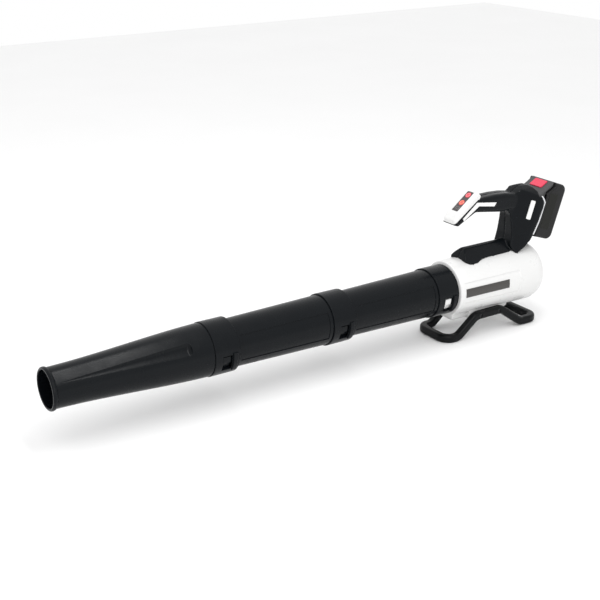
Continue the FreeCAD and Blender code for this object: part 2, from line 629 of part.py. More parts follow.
def impeller():
    """Axial fan wheel with its hub nut, and the blades' tips turned to run in the duct."""
    front, rear = IMPELLER_Y
    hub = turned([(SHAFT_R, front), (21.0, front), (21.0, rear), (17.0, rear + 1),
                  (SHAFT_R, rear + 1)])
    blades = []
    for i in range(BLADES):
        blade = box((20.0, 47.0), (front - 6, rear + 8), (AXIS_Z - 0.9, AXIS_Z + 0.9))
        blade.rotate(V(0, (front + rear) / 2, AXIS_Z), X_AXIS, 38)
        blades.append(around(blade, 360.0 / BLADES * i))
    tip_r = DUCT_R - 0.7
    envelope = turned([(19, front + 1), (tip_r, front + 1), (tip_r, rear - 1), (19, rear - 1)])
    trimmed = [b.common(envelope) for b in blades]
    keep("impeller", fuse([hub] + trimmed))
    keep("impeller_nut", turned([(SHAFT_R, rear + 1), (13.0, rear + 1), (12.0, rear + 6),
                                 (8.0, rear + 11), (SHAFT_R, rear + 13)]))


# ---- stand -------------------------------------------------------------------------------------
def stand():
    """Bent bar: half of the loop is swept and mirrored."""
    path = bent_path(STAND_POINTS, STAND_BENDS)
    half = BAR / 2
    flat = half - BAR_CORNER
    corner = BAR_CORNER * (1 - math.sqrt(0.5))
    start = V(*STAND_POINTS[0])
    edges = []
    for quarter in range(4):
        a = math.radians(90 * quarter)
        spin = [(half, -flat), (half, flat), (half - corner, half - corner), (flat, half)]
        p = [start + V(0, c * math.cos(a) - s * math.sin(a), c * math.sin(a) + s * math.cos(a))
             for c, s in spin]
        edges.append(Part.LineSegment(p[0], p[1]).toShape())
        edges.append(Part.Arc(p[1], p[2], p[3]).toShape())
    sweep = path.makePipeShell([Part.Wire(edges)], True, False)
    loop = fuse([sweep, mirrored(sweep)])
    screws = []
    holes = []
    for y in STAND_SCREWS_Y:
        for side in (-1, 1):
            outer_x = side * (STAND_POINTS[3][0] + half)
            inward = V(-side, 0, 0)
            holes.append(rod(V(outer_x + side, y, STAND_SCREW_Z), inward, SCREW_HEAD_R + 0.3, 5.0))
            holes.append(rod(V(outer_x, y, STAND_SCREW_Z), inward, SCREW_R + 0.2, 20))
            head = rod(V(outer_x - side * 1.4, y, STAND_SCREW_Z), inward, SCREW_HEAD_R, 2.6)
            shank = rod(V(outer_x - side * 4.0, y, STAND_SCREW_Z), inward, SCREW_R, 28)
            socket = rod(V(outer_x, y, STAND_SCREW_Z), inward, 1.5, 2.8)
            screws.append(fuse([head, shank]).cut(socket))
    keep("stand", loop.cut(Part.makeCompound(holes)))
    keep("stand_screws", Part.makeCompound(screws))


# ---- handle ------------------------------------------------------------------------------------
def symmetric(points):
    """Closes a half outline by its mirror image across x = 0."""
    return list(points) + [(-x, v) for x, v in reversed(points) if x > 0]


def grip_solid(inset):
    """Grip, and the nose under the control cover."""
    half = GRIP_HALF_WIDTH - inset
    if inset:
        return fuse([inset_prism(NOSE_OUTLINE, inset, half), inset_prism(GRIP_OUTLINE, inset, half),
                     box((-half, half), (328.0, 342.0), (250.0, 267.0))])
    nose = soft_prism(NOSE_OUTLINE, (0, 0, 10, 8, 0, 0, 0, 0), half, NOSE_ROUND, under_nose)
    grip = soft_prism(GRIP_OUTLINE, (0, 8, 8, 8, 20, 20, 20, 20, 0), half, GRIP_ROUND, behind_nose)
    return fuse([nose, grip])


def under_nose(middle):
    """True on the nose's lower edges, and false along its parting line."""
    return middle.z < nose_line(middle.y) - 3 and 290 < middle.y < 334.5


def behind_nose(middle):
    return middle.y > 334.5


def nose_line(y):
    """Height of the parting line between the nose and its cover."""
    rise = (NOSE_TOP[1] - NOSE_START[1]) / (NOSE_TOP[0] - NOSE_START[0])
    return NOSE_START[1] + (min(y, NOSE_TOP[0]) - NOSE_START[0]) * rise


def soft_prism(points, rounds, half, radius, chosen):
    """A side prism with rounded corners, and rounded long edges where the test says."""
    closed = [V(-half, y, z) for y, z in points]
    ends = []
    for i, corner in enumerate(closed):
        before = (closed[i - 1] - corner).normalize()
        after = (closed[(i + 1) % len(closed)] - corner).normalize()
        half_turn = (math.pi - before.getAngle(after)) / 2
        reach = rounds[i] * math.tan(half_turn)
        middle = corner + (before + after).normalize() * (rounds[i] / math.cos(half_turn) - rounds[i])
        ends.append((corner + before * reach, middle, corner + after * reach))
    edges = []
    for i, (start, middle, end) in enumerate(ends):
        if rounds[i]:
            edges.append(Part.Arc(start, middle, end).toShape())
        edges.append(Part.LineSegment(end, ends[(i + 1) % len(ends)][0]).toShape())
    solid = Part.Face(Part.Wire(edges)).extrude(V(2 * half, 0, 0))
    picked = [e for e in solid.Edges if e.BoundBox.XLength < 0.01 and chosen(e.CenterOfMass)]
    return solid.makeFillet(radius, picked)


def column_solid(inset):
    """Column that widens into the battery mount, with a domed top."""
    half = 45.0
    if inset:
        side = inset_prism(COLUMN_OUTLINE, inset, half)
    else:
        side = side_prism(COLUMN_OUTLINE, (-half, half))
    plan = plan_prism(symmetric([(x - inset, d) for x, d in COLUMN_PLAN]), (-60, 200))
    dome = section_prism([(max(0.0, x - inset), z - inset) for x, z in COLUMN_SECTION])
    return side.common(plan).common(dome)


def section_prism(points):
    """A prism along Y from half of a closed (x, z) outline."""
    return polygon_face([V(x, 280.0, z) for x, z in symmetric(points)]).extrude(V(0, 230, 0))


def saddle_solid(inset):
    """Base that straddles the housing, flared in front and waisted behind."""
    half = 45.0
    if inset:
        side = inset_prism(SADDLE_OUTLINE, inset, half)
    else:
        side = side_prism(SADDLE_OUTLINE, (-half, half))
    plan = symmetric([(max(0.0, x - inset), y) for x, y in SADDLE_PLAN])
    across = polygon_face([V(x, y, 130.0) for x, y in plan]).extrude(V(0, 0, 90))
    crown = section_prism([(max(0.0, x - inset), z - 0.5 * inset) for x, z in SADDLE_SECTION])
    return side.common(across).common(crown)


def handle(housing_envelope):
    outer = fuse([grip_solid(0), column_solid(0), saddle_solid(0)])
    cavity = fuse([grip_solid(SKIN), column_solid(SKIN), saddle_solid(SKIN)])
    bay = pack_box((-BAY_HALF_WIDTH, BAY_HALF_WIDTH), (-20, BAY_D), (PACK_BOTTOM_W - 0.6, 140))
    wall = pack_box((-40, 40), (BAY_D - 1, BAY_D + SKIN), (-60, 140))
    cavity = cavity.cut(wall).cut(pack_box((-60, 60), (-40, BAY_D), (-60, 140)))
    rails = [pack_box((s * 33.5 - 7.0, s * 33.5 + 7.0), (50.6, 53.4), (10.0, 62.0)) for s in (-1, 1)]
    rails = [r.common(pack_box((-38, 38), (0, 70), (0, 80))) for r in rails]
    body = outer.cut(cavity).cut(bay)
    bosses = [rod(V(-half, y, z), X_AXIS, 4.4, 2 * half) for y, z, half in HANDLE_SCREWS]
    body = fuse([body] + bosses + rails)
    pack_room = pack_box((-60, 60), (-40, PACK_DEPTH + 0.4), (-60, 140))
    lead_hole = rod(V(0, LEAD_Y, AXIS_Z + 50), Z_AXIS, LEAD_HOLE_R, 18)
    cuts = [housing_envelope, pack_room, lead_hole, stripe_prism(), mirrored(stripe_prism()),
            plate_prism(), mirrored(plate_prism()), mount_strip()]
    screws = []
    for y, z, _ in HANDLE_SCREWS:
        cuts.append(rod(V(-80, y, z), X_AXIS, SCREW_HEAD_R + 0.3, 80 - 10.0))
        cuts.append(rod(V(-11, y, z), X_AXIS, SCREW_R, 24))
        screws.append(cross_screw(y, z, 22, -10.0))
    left, right = halves(body.cut(Part.makeCompound(cuts)))
    keep("handle_left", left)
    keep("handle_right", right)
    keep("handle_screws", Part.makeCompound(screws))


def stripe_prism():
    """Bent inlay along the nose and the grip's side."""
    return side_prism(STRIPE_OUTLINE, (GRIP_HALF_WIDTH - 1.2, GRIP_HALF_WIDTH + 0.3))


def plate_prism():
    """Tilted rectangle sunk in the mount's flared side."""
    plate = box((-0.8, 2.0), (-4.5, 4.5), (-19.0, 19.0))
    plate = plate.makeFillet(2.0, straight_edges(plate, X_AXIS))
    plate.rotate(V(0, 0, 0), Z_AXIS, -26.0)
    plate.rotate(V(0, 0, 0), X_AXIS, -math.degrees(PACK_TILT))
    plate.translate(V(32.0, 460.5, 234.0))
    return plate


def mount_strip():
    """Narrow strips along the rear edges of the battery mount's side walls."""
    rim = column_solid(0).cut(inset_prism(COLUMN_OUTLINE, TRIM_WIDTH, 60.0))
    rear = pack_box((-60, 60), (PACK_DEPTH + 0.4, BAY_D - 3), (0, 84))
    bay = pack_box((-BAY_HALF_WIDTH, BAY_HALF_WIDTH), (-50, 90), (-20, 140))
    return rim.common(rear).cut(bay)


def handle_trim():
    keep("mount_trim", mount_strip())
    keep("stripe_right", stripe_prism())
    keep("stripe_left", mirrored(stripe_prism()))
    keep("side_plate_right", plate_prism())
    keep("side_plate_left", mirrored(plate_prism()))


# ---- control panel -----------------------------------------------------------------------------
def on_slope(shape):
    """Moves a shape from the panel's own frame (x across, y up the slope, z out of it) to its place."""
    copy = shape.copy()
    copy.rotate(V(0, 0, 0), X_AXIS, math.degrees(NOSE_SLOPE))
    copy.translate(V(0, *PANEL_CENTRE))
    return copy


SLOPE_NORMAL = V(0, -math.sin(NOSE_SLOPE), math.cos(NOSE_SLOPE))
BUTTON_PLACES = (("power_button", POWER_OFFSET), ("speed_button", SPEED_OFFSET))


def on_white(middle):
    """True on the cover's outside edges, and false along its parting line."""
    return middle.z > nose_line(middle.y) + 5


def controls():
    """White cover, dark panel, two push buttons over a switch board, and indicator lights."""
    half = GRIP_HALF_WIDTH
    cover = soft_prism(COVER_OUTLINE, (0, 0, 0, 0, 8, 8, 6), half, COVER_ROUND, on_white)
    inner = inset_prism(COVER_OUTLINE, 2.4, half - 2.4)
    open_bottom = [(279.6, 228.0), (330.0, 264.0), (331.5, 266.0), (334.3, 274.0), (328.0, 277.0),
                   (282.0, 240.0)]
    inner = fuse([inner, side_prism(open_bottom, (-half + 2.4, half - 2.4))])
    w, l = PANEL_SIZE
    pocket = on_slope(rounded_plate(w + 0.2, l + 0.2, 2.3, (-3.0, 3.0)))
    keep("control_cover", cover.cut(inner).cut(pocket))
    plate = rounded_plate(w, l, 2.2, (-2.2, 0.2))
    lamps = []
    for y in (-14.5, -18.5):
        for x in (-4.2, 0.0, 4.2):
            plate = plate.cut(rod(V(x, y, -5), Z_AXIS, 0.9, 10))
            lamps.append(on_slope(rod(V(x, y, -2.2), Z_AXIS, 0.85, 2.3)))
    for name, place in BUTTON_PLACES:
        plate = plate.cut(rod(V(0, place, -5), Z_AXIS, BUTTON_R + GAP, 10))
        cap = rod(V(0, place, -1.4), Z_AXIS, BUTTON_R, 2.4)
        cap = cap.makeFillet(0.7, [e for e in cap.Edges if abs(e.CenterOfMass.z - 1.0) < 0.01])
        skirt = rod(V(0, place, -3.6), Z_AXIS, BUTTON_R + 1.1, 1.1)
        stem = rod(V(0, place, -4.4), Z_AXIS, 2.2, 4)
        keep(name, on_slope(fuse([cap, skirt, stem, rod(V(0, place, -3), Z_AXIS, 5.0, 2)])))
    keep("control_panel", on_slope(plate))
    keep("indicator_lamps", Part.makeCompound(lamps))
    board = rounded_plate(26.0, 46.0, 1.0, (-9.2, -8.0))
    keep("button_board", on_slope(board))
    switches = []
    for name, place in BUTTON_PLACES:
        case = rounded_plate(6.0, 6.0, 0.3, (-8.0, -6.4))
        case.translate(V(0, place, 0))
        plunger = rod(V(0, place, -6.4), Z_AXIS, 1.6, 2.0 - BUTTON_TRAVEL - 0.05)
        switches.append(on_slope(fuse([case, plunger])))
    keep("tact_switches", Part.makeCompound(switches))


def rounded_plate(width, length, radius, z):
    plate = box((-width / 2, width / 2), (-length / 2, length / 2), z)
    return plate.makeFillet(radius, straight_edges(plate, Z_AXIS))


# ---- electronics in the handle -----------------------------------------------------------------
def electronics():
    """Terminal block for the battery, motor controller with its heat sink, and the power leads."""
    block = pack_box((-13.0, 13.0), (BAY_D - 9.6, BAY_D - 0.1), (1.0, 9.0))
    keep("terminal_block", block)
    blades = [pack_box((x - 0.4, x + 0.4), (BAY_D - 7.6, BAY_D - 2.4), (9.0, 22.0)) for x in (-8, 0, 8)]
    keep("terminal_blades", Part.makeCompound(blades))
    board = box((-12.5, 12.5), (432.0, 433.6), (196.0, 240.0))
    keep("controller_board", board)
    base = box((-13.0, 13.0), (433.7, 436.0), (200.0, 232.0))
    fins = [box((x - 0.7, x + 0.7), (435.5, 443.0), (203.0, 232.0)) for x in range(-12, 13, 4)]
    keep("heat_sink", fuse([base] + fins))
    keep("capacitor", rod(V(0, 431.9, 233.0), V(0, -1, 0), 5.0, 6.0))
    leads = []
    for x in (-4.5, 0.0, 4.5):
        path = bent_path([(x, LEAD_Y, 119.5), (x, LEAD_Y, 154.0), (x, 430.0, 166.0), (x, 430.0, 205.0)],
                         (7.0, 12.0))
        start = Part.Wire(Part.makeCircle(1.3, V(x, LEAD_Y, 119.5), Z_AXIS))
        leads.append(path.makePipeShell([start], True, False))
    keep("motor_leads", Part.makeCompound(leads))
    grommet = rod(V(0, LEAD_Y, 142.0), Z_AXIS, 7.5, 7.0)
    for x in (-4.5, 0.0, 4.5):
        grommet = grommet.cut(rod(V(x, LEAD_Y, 140.0), Z_AXIS, 1.35, 12))
    keep("lead_grommet", grommet)


# ---- battery -----------------------------------------------------------------------------------
def battery():
    """Slide-on pack: case with cells, rail cover, latch cap and its release button."""
    half = PACK_HALF_WIDTH
    outline = [(PACK_REAR_D, PACK_BOTTOM_W), (PACK_DEPTH, PACK_BOTTOM_W), (PACK_DEPTH, 83.8),
               (30.0, 99.8), (30.0, PACK_TOP_W), (PACK_REAR_D, PACK_TOP_W)]
    case = pack_prism(outline, (-half, half))
    case = case.makeFillet(PACK_ROUND, rear_edges(case, PACK_REAR_D))
    rim = [e for e in case.Edges if abs(e.CenterOfMass.x) > half - 0.01 and pack_d(e.CenterOfMass) < 29.9]
    case = case.makeFillet(PACK_RIM_ROUND, rim)
    inner_d = PACK_REAR_D + PACK_WALL
    inner_w = (PACK_BOTTOM_W + PACK_WALL, PACK_TOP_W - PACK_WALL)
    inner = [(inner_d, inner_w[0]), (PACK_DEPTH - 0.1, inner_w[0]), (PACK_DEPTH - 0.1, 81.0),
             (27.0, 98.8), (27.0, inner_w[1]), (inner_d, inner_w[1])]
    inner_half = half - PACK_WALL
    cavity = pack_prism(inner, (-inner_half, inner_half))
    cavity = cavity.makeFillet(PACK_ROUND - PACK_WALL, rear_edges(cavity, inner_d))
    mouth = pack_box((-inner_half, inner_half), (40.0, 60.0), (inner_w[0], 66.0))
    keep("battery_case", case.cut(cavity).cut(mouth))
    cells = []
    for row in range(2):
        for i in range(5):
            centre = pack_point(-CELL_LENGTH / 2, 13.0 + 18.6 * row, 9.0 + CELL_PITCH * i)
            if i < 4 or row == 0:
                cells.append(Part.makeCylinder(CELL_R, CELL_LENGTH, centre, X_AXIS))
    keep("battery_cells", Part.makeCompound(cells))
    neck = pack_box((-NECK_HALF_WIDTH, NECK_HALF_WIDTH), (PACK_DEPTH + 0.1, PACK_NECK_D),
                    (PACK_BOTTOM_W, 65.8))
    grooves = [pack_box((s * 29.0 - 3.0, s * 29.0 + 3.0), (50.2, 53.8), (-20, 90)) for s in (-1, 1)]
    mouth_slot = pack_box((-15, 15), (PACK_NECK_D - 8.4, PACK_NECK_D + 5), (-20, 26.0))
    flange = pack_box((-half + 3.2, half - 3.2), (41.0, PACK_DEPTH + 0.6), (PACK_BOTTOM_W + 3.2, 65.8))
    hollow = pack_box((-24, 24), (39.0, 51.5), (4.0, 60.0))
    cover = fuse([neck, flange]).cut(Part.makeCompound(grooves + [mouth_slot, hollow]))
    keep("battery_rails", cover)
    cap = pack_prism(CAP_OUTLINE, (-NECK_HALF_WIDTH, NECK_HALF_WIDTH))
    upper = [e for e in cap.Edges if e.BoundBox.XLength < 0.01 and e.CenterOfMass.z > 258]
    cap = cap.makeFillet(3.0, upper)
    pocket = on_cap(rounded_plate(*RELEASE_SIZE, 2.4, (-7.0, 6.0)))
    keep("battery_cap", cap.cut(pocket))
    button = rounded_plate(RELEASE_SIZE[0] - 2 * GAP, RELEASE_SIZE[1] - 2 * GAP, 2.2, (-3.4, 1.6))
    top = [e for e in button.Edges if e.BoundBox.ZMin > 1.5]
    keep("battery_release", on_cap(button.makeFillet(1.2, top)))
    leaf = [(-8.0, -6.9), (-2.0, -3.9), (2.0, -3.9), (8.0, -6.9), (6.4, -6.9), (1.7, -4.5), (-1.7, -4.5),
            (-6.4, -6.9)]
    face = polygon_face([V(-5.0, y, z) for y, z in leaf])
    keep("release_spring", on_cap(face.extrude(V(10.0, 0, 0))))


def pack_d(point):
    """How far forward of the battery frame's origin a point is."""
    return (point - pack_point(0, 0, 0)).dot(PACK_FORWARD)


def rear_edges(shape, d):
    """The pack's edges across X at one depth."""
    return [e for e in straight_edges(shape, X_AXIS) if abs(pack_d(e.CenterOfMass) - d) < 0.01]


def on_cap(shape):
    """Moves a shape (x across, y up the slope, z outwards) onto the cap's sloping face."""
    copy = shape.copy()
    run = (CAP_OUTLINE[0][0] - CAP_OUTLINE[1][0], CAP_OUTLINE[0][1] - CAP_OUTLINE[1][1])
    slope = math.degrees(math.atan2(run[1], -run[0])) - math.degrees(PACK_TILT)
    copy.rotate(V(0, 0, 0), X_AXIS, slope)
    copy.translate(pack_point(0, *BUTTON_ON_CAP))
    return copy


def build():
    collar_end = nozzle()
    extension_tube("front_tube", collar_end + PITCH)
    extension_tube("rear_tube", HOUSING_FRONT_Y - GAP)
    outlet_spigot()
    envelope = housing()
    badges()
    intake_grille()
    dust_screen()
    fan_duct()
    duct_mounts()
    motor()
    impeller()
    stand()
    handle(envelope)
    handle_trim()
    controls()
    electronics()
    battery()
    os.makedirs("parts", exist_ok=True)
    for name, shape in parts.items():
        shape.exportStep("parts/" + name + ".step")
        print(name, len(shape.Solids), "solids, valid:", shape.isValid())


build()
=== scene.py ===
"""Looks of the cordless leaf blower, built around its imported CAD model.

Metres, in the frame of the CAD: +Y runs along the air axis towards the battery, and +Z is up.
"""
import json
import math

import bpy
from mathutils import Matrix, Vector


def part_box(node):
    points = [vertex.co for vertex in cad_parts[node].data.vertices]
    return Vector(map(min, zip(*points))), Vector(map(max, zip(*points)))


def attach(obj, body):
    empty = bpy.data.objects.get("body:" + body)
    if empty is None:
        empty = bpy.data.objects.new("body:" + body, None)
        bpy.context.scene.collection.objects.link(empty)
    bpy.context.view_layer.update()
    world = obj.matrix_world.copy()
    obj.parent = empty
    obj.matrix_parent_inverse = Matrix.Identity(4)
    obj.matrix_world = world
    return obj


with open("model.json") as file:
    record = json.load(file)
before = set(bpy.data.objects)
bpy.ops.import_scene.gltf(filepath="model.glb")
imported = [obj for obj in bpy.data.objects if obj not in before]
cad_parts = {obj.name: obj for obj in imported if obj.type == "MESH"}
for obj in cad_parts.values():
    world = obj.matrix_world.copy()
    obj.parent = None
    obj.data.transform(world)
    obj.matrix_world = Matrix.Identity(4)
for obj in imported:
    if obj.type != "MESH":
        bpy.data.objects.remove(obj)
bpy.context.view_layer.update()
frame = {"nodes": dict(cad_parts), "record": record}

MM = 0.001

# ---- camera and light --------------------------------------------------------------------------
CAMERA_PLACE = Vector((1.596, -1.122, 0.8925))
CAMERA_FORWARD = Vector((-0.7766, 0.5148, -0.3633))
LENS_MM = 69.0
SENSOR_MM = 36.0
ROOM_LIGHT = 1.0
FLOOR_REACH = 4.0
SOFTBOXES = (                      # name, place, target, size and watts
    ("softbox_top", (0.45, -0.1, 1.5), (0.0, -0.05, 0.1), (0.09, 2.4), 13.0),
    ("softbox_side", (1.6, -0.5, 0.9), (0.0, 0.0, 0.15), (0.10, 1.8), 4.0),
)

# ---- rounding of the moulded shells ------------------------------------------------------------
SHELL_VOXEL = 1.3 * MM
SHELL_SMOOTHING = 0.5
SOFT_SHELLS = {"handle_left": 9, "handle_right": 9, "battery_case": 6}    # node and smoothing passes

# ---- sizes of the added details ----------------------------------------------------------------
NOSE_SLOPE = math.radians(38.0)
PACK_TILT = math.radians(18.4)
RING_INNER_R = 3.1 * MM
RING_OUTER_R = 4.5 * MM
RING_CHAMFER = 0.1 * MM
RING_SUNK = 0.2 * MM
RING_HEIGHT = 0.18 * MM
RING_SEGMENTS = 48
TOP_FACE_BAND = 0.05 * MM          # depth over which points count as part of a button's top face
LABEL_WIDTH = 24 * MM
LABEL_HEIGHT = 72 * MM
LABEL_ROUND = 2 * MM
LABEL_THICKNESS = 0.35 * MM
LABEL_BEVEL = 0.3 * LABEL_THICKNESS
LABEL_SUNK = 0.05 * MM
LABEL_SHIFT = -4 * MM              # along the battery's depth; negative is forward
CORNER_STEPS = 6

# ---- scale of the surface detail ---------------------------------------------------------------
BEVEL_SAMPLES = 4
COLOUR_DRIFT = 60 * MM
GLOSS_DRIFT = 25 * MM
RUB_SIZE = 9 * MM
RUB_REACH = 1.2 * MM
EDGE_COSINES = (0.97, 0.78)        # agreement of the two normals on a flat stretch and at an edge
COAT_ROUGHNESS = 0.12


def add_camera():
    data = bpy.data.cameras.new("camera")
    data.lens = LENS_MM
    data.sensor_width = SENSOR_MM
    data.clip_start = 0.05
    data.clip_end = 60.0
    camera = bpy.data.objects.new("camera", data)
    camera.location = CAMERA_PLACE
    camera.rotation_mode = "QUATERNION"
    camera.rotation_quaternion = CAMERA_FORWARD.to_track_quat("-Z", "Y")
    bpy.context.scene.collection.objects.link(camera)
    bpy.context.scene.camera = camera


def add_softbox(name, place, target, size, power):
    """A large rectangular light that faces its target."""
    data = bpy.data.lights.new(name, "AREA")
    data.shape = "RECTANGLE"
    data.size, data.size_y = size
    data.energy = power
    light = bpy.data.objects.new(name, data)
    light.location = place
    light.rotation_mode = "QUATERNION"
    light.rotation_quaternion = (Vector(target) - Vector(place)).to_track_quat("-Z", "Y")
    bpy.context.scene.collection.objects.link(light)


def add_studio():
    """White room, softboxes and a plain pale floor."""
    world = bpy.data.worlds.new("studio")
    world.use_nodes = True
    background = world.node_tree.nodes["Background"]
    background.inputs["Color"].default_value = (1.0, 1.0, 1.0, 1.0)
    background.inputs["Strength"].default_value = ROOM_LIGHT
    bpy.context.scene.world = world
    bpy.context.scene.view_settings.view_transform = "Standard"
    for name, place, target, size, power in SOFTBOXES:
        add_softbox(name, place, target, size, power)

    floor = mesh_object("floor", [(-FLOOR_REACH, -FLOOR_REACH, 0), (FLOOR_REACH, -FLOOR_REACH, 0),
                                  (FLOOR_REACH, FLOOR_REACH, 0), (-FLOOR_REACH, FLOOR_REACH, 0)],
                        [(0, 1, 2, 3)])
    floor.data.materials.append(floor_paper())


# ---- node helpers ------------------------------------------------------------------------------
def new_material(name):
    material = bpy.data.materials.new(name)
    material.use_nodes = True
    return material, material.node_tree.nodes["Principled BSDF"]


def add_node(material, kind, **values):
    """A shader node with its inputs set by name."""
    node = material.node_tree.nodes.new(kind)
    for key, value in values.items():
        node.inputs[key.replace("_", " ")].default_value = value
    return node


def link(material, out_socket, in_socket):
    material.node_tree.links.new(out_socket, in_socket)


def noise(material, size, detail=2.0, stretch=(1.0, 1.0, 1.0)):
    """Noise whose features are about size metres across, in the frame's own coordinates."""
    place = material.node_tree.nodes.new("ShaderNodeTexCoord")
    scale = material.node_tree.nodes.new("ShaderNodeMapping")
    scale.inputs["Scale"].default_value = stretch
    texture = add_node(material, "ShaderNodeTexNoise", Scale=1.0 / size, Detail=detail, Roughness=0.55)
    link(material, place.outputs["Object"], scale.inputs["Vector"])
    link(material, scale.outputs["Vector"], texture.inputs["Vector"])
    return texture.outputs["Fac"]


def map_range(material, value, from_range, to_range):
    node = add_node(material, "ShaderNodeMapRange", From_Min=from_range[0], From_Max=from_range[1],
                    To_Min=to_range[0], To_Max=to_range[1])
    link(material, value, node.inputs["Value"])
    return node.outputs["Result"]


def blend_colours(material, factor, low, high):
    """Colour that runs from low to high; either may be a colour or a socket."""
    mix = material.node_tree.nodes.new("ShaderNodeMix")
    mix.data_type = "RGBA"
    link(material, factor, mix.inputs["Factor"])
    sockets = [s for s in mix.inputs if s.type == "RGBA"]
    for socket, colour in zip(sockets, (low, high)):
        if isinstance(colour, bpy.types.NodeSocket):
            link(material, colour, socket)
        else:
            socket.default_value = (*colour, 1.0)
    return [s for s in mix.outputs if s.type == "RGBA"][0]


def edge_mask(material, radius):
    """Near 1 along sharp edges and 0 on flat stretches."""
    bevel = add_node(material, "ShaderNodeBevel", Radius=radius)
    bevel.samples = BEVEL_SAMPLES
    geometry = material.node_tree.nodes.new("ShaderNodeNewGeometry")
    dot = material.node_tree.nodes.new("ShaderNodeVectorMath")
    dot.operation = "DOT_PRODUCT"
    link(material, bevel.outputs["Normal"], dot.inputs[0])
    link(material, geometry.outputs["Normal"], dot.inputs[1])
    return map_range(material, dot.outputs["Value"], EDGE_COSINES, (0.0, 1.0))


def surface_grain(material, shader, size, strength, edge=0.0):
    """Fine relief, over edges that are rounded by edge metres."""
    bump = add_node(material, "ShaderNodeBump", Strength=strength, Distance=size * 0.25)
    link(material, noise(material, size, 3.0), bump.inputs["Height"])
    if edge:
        bevel = add_node(material, "ShaderNodeBevel", Radius=edge)
        bevel.samples = BEVEL_SAMPLES
        link(material, bevel.outputs["Normal"], bump.inputs["Normal"])
    link(material, bump.outputs["Normal"], shader.inputs["Normal"])


# ---- materials ---------------------------------------------------------------------------------
def moulded(name, low, high, roughness, grain=0.5 * MM, relief=0.15, edge=0.4 * MM, wear=0.25, coat=0.0,
            worn=None, shine=0.5):
    """Moulded plastic: colour that drifts a little, uneven gloss, fine texture and rubbed edges."""
    material, shader = new_material(name)
    colour = blend_colours(material, noise(material, COLOUR_DRIFT, 4.0), low, high)
    if wear:
        rubbed = material.node_tree.nodes.new("ShaderNodeMath")
        rubbed.operation = "MULTIPLY"
        link(material, edge_mask(material, RUB_REACH), rubbed.inputs[0])
        link(material, map_range(material, noise(material, RUB_SIZE, 4.0), (0.4, 0.7), (0.0, wear)),
             rubbed.inputs[1])
        lighter = worn or tuple(min(1.0, c * 1.8 + 0.02) for c in high)
        colour = blend_colours(material, rubbed.outputs["Value"], colour, lighter)
    link(material, colour, shader.inputs["Base Color"])
    uneven = map_range(material, noise(material, GLOSS_DRIFT, 5.0), (0.3, 0.7),
                       (roughness * 0.85, roughness * 1.2))
    link(material, uneven, shader.inputs["Roughness"])
    shader.inputs["Specular IOR Level"].default_value = shine
    shader.inputs["Coat Weight"].default_value = coat
    shader.inputs["Coat Roughness"].default_value = COAT_ROUGHNESS
    surface_grain(material, shader, grain, relief, edge)
    return material


def metal(name, low, high, roughness, stretch=(1.0, 1.0, 1.0), grain=0.3 * MM, relief=0.15):
    """Bare metal with a drawn or cast grain."""
    material, shader = new_material(name)
    shader.inputs["Metallic"].default_value = 1.0
    colour = blend_colours(material, noise(material, 4 * MM, 4.0, stretch), low, high)
    link(material, colour, shader.inputs["Base Color"])
    uneven = map_range(material, noise(material, 3 * MM, 4.0, stretch), (0.3, 0.7),
                       (roughness * 0.7, roughness * 1.35))
    link(material, uneven, shader.inputs["Roughness"])
    surface_grain(material, shader, grain, relief)
    return material


def floor_paper():
    """Seamless white paper."""
    material, shader = new_material("floor_paper")
    colour = blend_colours(material, noise(material, 400 * MM, 2.0), (0.90, 0.90, 0.90), (0.93, 0.93, 0.93))
    link(material, colour, shader.inputs["Base Color"])
    shader.inputs["Roughness"].default_value = 0.85
    shader.inputs["Specular IOR Level"].default_value = 0.2
    surface_grain(material, shader, 2 * MM, 0.05)
    return material


